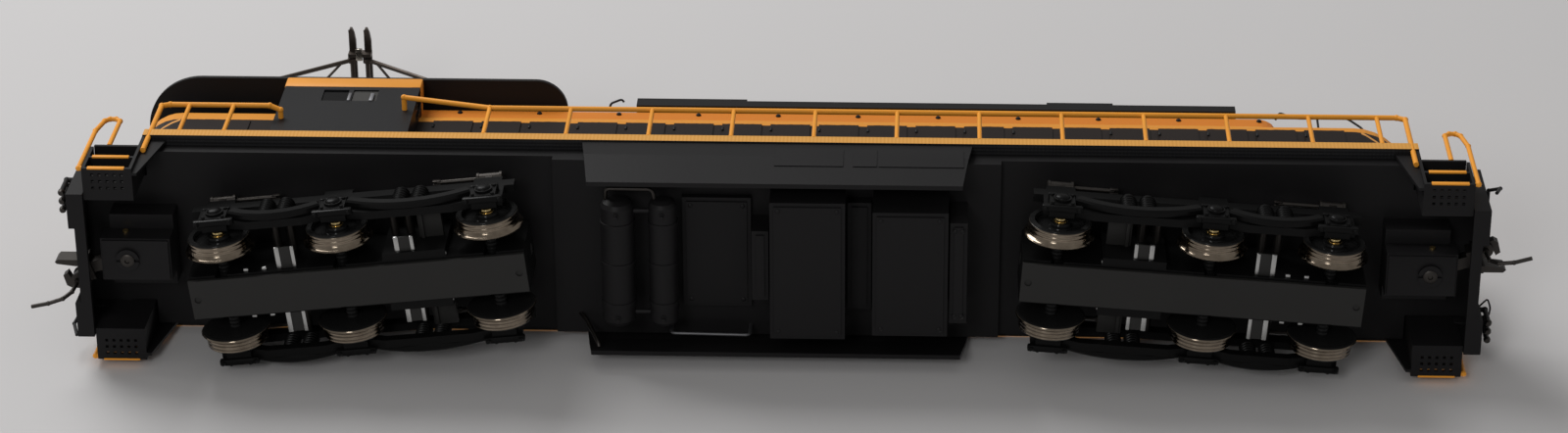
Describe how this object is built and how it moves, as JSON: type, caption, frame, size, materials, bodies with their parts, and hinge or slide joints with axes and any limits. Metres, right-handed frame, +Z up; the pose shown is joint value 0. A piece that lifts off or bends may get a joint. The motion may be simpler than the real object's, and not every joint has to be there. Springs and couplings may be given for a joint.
{
  "type": "model electric locomotive",
  "caption": "Scale model electric locomotive: hooded body with offset cab, swivelling geared trucks, rolling wheelsets, swinging knuckle couplers and a folding diamond pantograph.",
  "frame": {"origin": "on the centre line, midway between the couplers, at the level of the wheel flange tips", "axes": "+X along the track away from the cab end, +Z up"},
  "size_m": [0.2502, 0.0364, 0.081],
  "materials": {
    "frame_black": "satin black",
    "sill_yellow": "satin yellow sill edge, black deck",
    "hood_paint": "satin, orange-yellow above black",
    "cab_paint": "satin dark grey-black",
    "roof_orange": "satin orange fascia",
    "rail_yellow": "satin yellow-orange",
    "window_glass": "clear",
    "lamp_lens": "clear",
    "dark_steel": "blackened",
    "lead": "cast",
    "board_green": "lacquered",
    "bright_steel": "bright",
    "brass": "turned",
    "pantograph_metal": "blackened",
    "truck_black": "satin black",
    "cover_grey": "satin dark grey",
    "nickel": "turned nickel silver tread"
  },
  "bodies": {
    "chassis": {"chassis_floor": "frame_black", "motor_cradle": "frame_black", "walkway": "sill_yellow", "side_skirts": "frame_black", "end_sheets": "frame_black", "corner_steps": "frame_black", "coupler_boxes": "frame_black", "coupler_screws": "dark_steel", "air_tanks": "frame_black", "underfloor_boxes": "frame_black", "slim_cabinets": "frame_black", "short_hood": "hood_paint", "cab": "cab_paint", "cab_roof": "roof_orange", "cab_glass": "window_glass", "long_hood": "hood_paint", "roof_panel": "frame_black", "pantograph_platform": "frame_black", "left_handrail": "rail_yellow", "right_handrail": "rail_yellow", "step_rails": "rail_yellow", "headlights": "lamp_lens", "end_levers": "dark_steel", "ballast_weights": "lead", "circuit_board": "board_green", "motor_can": "bright_steel", "pantograph_base": "frame_black"},
    "rotor": {"motor_shaft": "bright_steel", "flywheels": "brass"},
    "front_truck": {"front_gear_case": "truck_black", "front_gear_cover": "cover_grey", "front_pivot_clip": "bright_steel", "front_side_frames": "truck_black", "front_rigging": "bright_steel"},
    "front_drive_cup": {"front_drive_cup": "brass"},
    "front_tower_idler": {"front_tower_idler": "brass"},
    "front_worm_shaft": {"front_worm_shaft": "bright_steel"},
    "front_outer_wheelset": {"front_outer_wheels": "nickel"},
    "front_middle_wheelset": {"front_middle_wheels": "nickel"},
    "front_inner_wheelset": {"front_inner_wheels": "nickel"},
    "rear_truck": {"rear_gear_case": "truck_black", "rear_gear_cover": "cover_grey", "rear_pivot_clip": "bright_steel", "rear_side_frames": "truck_black", "rear_rigging": "bright_steel"},
    "rear_drive_cup": {"rear_drive_cup": "brass"},
    "rear_tower_idler": {"rear_tower_idler": "brass"},
    "rear_worm_shaft": {"rear_worm_shaft": "bright_steel"},
    "rear_outer_wheelset": {"rear_outer_wheels": "nickel"},
    "rear_middle_wheelset": {"rear_middle_wheels": "nickel"},
    "rear_inner_wheelset": {"rear_inner_wheels": "nickel"},
    "front_coupler": {"front_coupler": "dark_steel"},
    "front_knuckle": {"front_knuckle": "dark_steel"},
    "rear_coupler": {"rear_coupler": "dark_steel"},
    "rear_knuckle": {"rear_knuckle": "dark_steel"},
    "front_lower_arm": {"front_lower_arm": "pantograph_metal"},
    "rear_lower_arm": {"rear_lower_arm": "pantograph_metal"},
    "front_upper_arm": {"front_upper_arm": "pantograph_metal"},
    "rear_upper_arm": {"rear_upper_arm": "pantograph_metal"},
    "collector_head": {"collector_head": "pantograph_metal"}
  },
  "joints": [
    {"name": "motor_spin", "type": "hinge", "parent": "chassis", "child": "rotor", "pos_m": [0, 0, 0.0257], "axis": [1, 0, 0], "continuous": true},
    {"name": "front_truck_swivel", "type": "hinge", "parent": "chassis", "child": "front_truck", "pos_m": [-0.0594, 0, 0.017], "axis": [0, 0, 1], "range_deg": [-2.8, 15.2]},
    {"name": "front_drive_cup_spin", "type": "hinge", "parent": "front_truck", "child": "front_drive_cup", "pos_m": [-0.0594, 0, 0.0257], "axis": [0.9942, -0.108, 0], "continuous": true},
    {"name": "front_tower_idler_spin", "type": "hinge", "parent": "front_truck", "child": "front_tower_idler", "pos_m": [-0.0594, 0, 0.01819], "axis": [0.9942, -0.108, 0], "continuous": true},
    {"name": "front_worm_shaft_spin", "type": "hinge", "parent": "front_truck", "child": "front_worm_shaft", "pos_m": [-0.0594, 0, 0.01069], "axis": [0.9942, -0.108, 0], "continuous": true},
    {"name": "front_outer_wheelset_roll", "type": "hinge", "parent": "front_truck", "child": "front_outer_wheelset", "pos_m": [-0.09201, 0.00354, 0.00589], "axis": [0.108, 0.9942, 0], "continuous": true},
    {"name": "front_middle_wheelset_roll", "type": "hinge", "parent": "front_truck", "child": "front_middle_wheelset", "pos_m": [-0.07202, 0.00137, 0.00589], "axis": [0.108, 0.9942, 0], "continuous": true},
    {"name": "front_inner_wheelset_roll", "type": "hinge", "parent": "front_truck", "child": "front_inner_wheelset", "pos_m": [-0.04677, -0.00137, 0.00589], "axis": [0.108, 0.9942, 0], "continuous": true},
    {"name": "rear_truck_swivel", "type": "hinge", "parent": "chassis", "child": "rear_truck", "pos_m": [0.0594, 0, 0.017], "axis": [0, 0, 1], "range_deg": [-13.05, 4.95]},
    {"name": "rear_drive_cup_spin", "type": "hinge", "parent": "rear_truck", "child": "rear_drive_cup", "pos_m": [0.0594, 0, 0.0257], "axis": [0.9975, 0.0706, 0], "continuous": true},
    {"name": "rear_tower_idler_spin", "type": "hinge", "parent": "rear_truck", "child": "rear_tower_idler", "pos_m": [0.0594, 0, 0.01819], "axis": [0.9975, 0.0706, 0], "continuous": true},
    {"name": "rear_worm_shaft_spin", "type": "hinge", "parent": "rear_truck", "child": "rear_worm_shaft", "pos_m": [0.0594, 0, 0.01069], "axis": [0.9975, 0.0706, 0], "continuous": true},
    {"name": "rear_outer_wheelset_roll", "type": "hinge", "parent": "rear_truck", "child": "rear_outer_wheelset", "pos_m": [0.09212, 0.00232, 0.00589], "axis": [-0.0706, 0.9975, 0], "continuous": true},
    {"name": "rear_middle_wheelset_roll", "type": "hinge", "parent": "rear_truck", "child": "rear_middle_wheelset", "pos_m": [0.07207, 0.0009, 0.00589], "axis": [-0.0706, 0.9975, 0], "continuous": true},
    {"name": "rear_inner_wheelset_roll", "type": "hinge", "parent": "rear_truck", "child": "rear_inner_wheelset", "pos_m": [0.04673, -0.0009, 0.00589], "axis": [-0.0706, 0.9975, 0], "continuous": true},
    {"name": "front_coupler_swing", "type": "hinge", "parent": "chassis", "child": "front_coupler", "pos_m": [-0.1093, 0, 0.0108], "axis": [0, 0, 1], "range_deg": [-2, 38]},
    {"name": "front_knuckle_open", "type": "hinge", "parent": "front_coupler", "child": "front_knuckle", "pos_m": [-0.11825, 0.00449, 0.0108], "axis": [0, 0, 1], "range_deg": [-25, 0]},
    {"name": "rear_coupler_swing", "type": "hinge", "parent": "chassis", "child": "rear_coupler", "pos_m": [0.1093, 0, 0.0108], "axis": [0, 0, 1], "range_deg": [-2, 38]},
    {"name": "rear_knuckle_open", "type": "hinge", "parent": "rear_coupler", "child": "rear_knuckle", "pos_m": [0.11825, -0.00449, 0.0108], "axis": [0, 0, 1], "range_deg": [-25, 0]},
    {"name": "pantograph_raise", "type": "hinge", "parent": "chassis", "child": "front_lower_arm", "pos_m": [-0.08045, 0, 0.0535], "axis": [0, 1, 0], "range_deg": [-30, 24]},
    {"name": "rear_lower_arm_raise", "type": "hinge", "parent": "chassis", "child": "rear_lower_arm", "pos_m": [-0.07765, 0, 0.0535], "axis": [0, 1, 0], "range_deg": [-24, 30]},
    {"name": "front_elbow", "type": "hinge", "parent": "front_lower_arm", "child": "front_upper_arm", "pos_m": [-0.09801, 0, 0.06625], "axis": [0, 1, 0], "range_deg": [-48, 60]},
    {"name": "rear_elbow", "type": "hinge", "parent": "rear_lower_arm", "child": "rear_upper_arm", "pos_m": [-0.06009, 0, 0.06625], "axis": [0, 1, 0], "range_deg": [-60, 48]},
    {"name": "collector_level", "type": "hinge", "parent": "front_upper_arm", "child": "collector_head", "pos_m": [-0.08045, 0, 0.07901], "axis": [0, 1, 0], "range_deg": [-30, 24]}
  ],
  "couplings": [
    {"joint": "front_drive_cup_spin", "follows": "motor_spin", "ratio": 1},
    {"joint": "front_tower_idler_spin", "follows": "motor_spin", "ratio": -1},
    {"joint": "front_worm_shaft_spin", "follows": "motor_spin", "ratio": 1},
    {"joint": "front_outer_wheelset_roll", "follows": "motor_spin", "ratio": 0.0625},
    {"joint": "front_middle_wheelset_roll", "follows": "motor_spin", "ratio": 0.0625},
    {"joint": "front_inner_wheelset_roll", "follows": "motor_spin", "ratio": 0.0625},
    {"joint": "rear_drive_cup_spin", "follows": "motor_spin", "ratio": 1},
    {"joint": "rear_tower_idler_spin", "follows": "motor_spin", "ratio": -1},
    {"joint": "rear_worm_shaft_spin", "follows": "motor_spin", "ratio": 1},
    {"joint": "rear_outer_wheelset_roll", "follows": "motor_spin", "ratio": 0.0625},
    {"joint": "rear_middle_wheelset_roll", "follows": "motor_spin", "ratio": 0.0625},
    {"joint": "rear_inner_wheelset_roll", "follows": "motor_spin", "ratio": 0.0625},
    {"joint": "rear_lower_arm_raise", "follows": "pantograph_raise", "ratio": -1},
    {"joint": "front_elbow", "follows": "pantograph_raise", "ratio": -2},
    {"joint": "rear_elbow", "follows": "pantograph_raise", "ratio": 2},
    {"joint": "collector_level", "follows": "pantograph_raise", "ratio": 1}
  ]
}
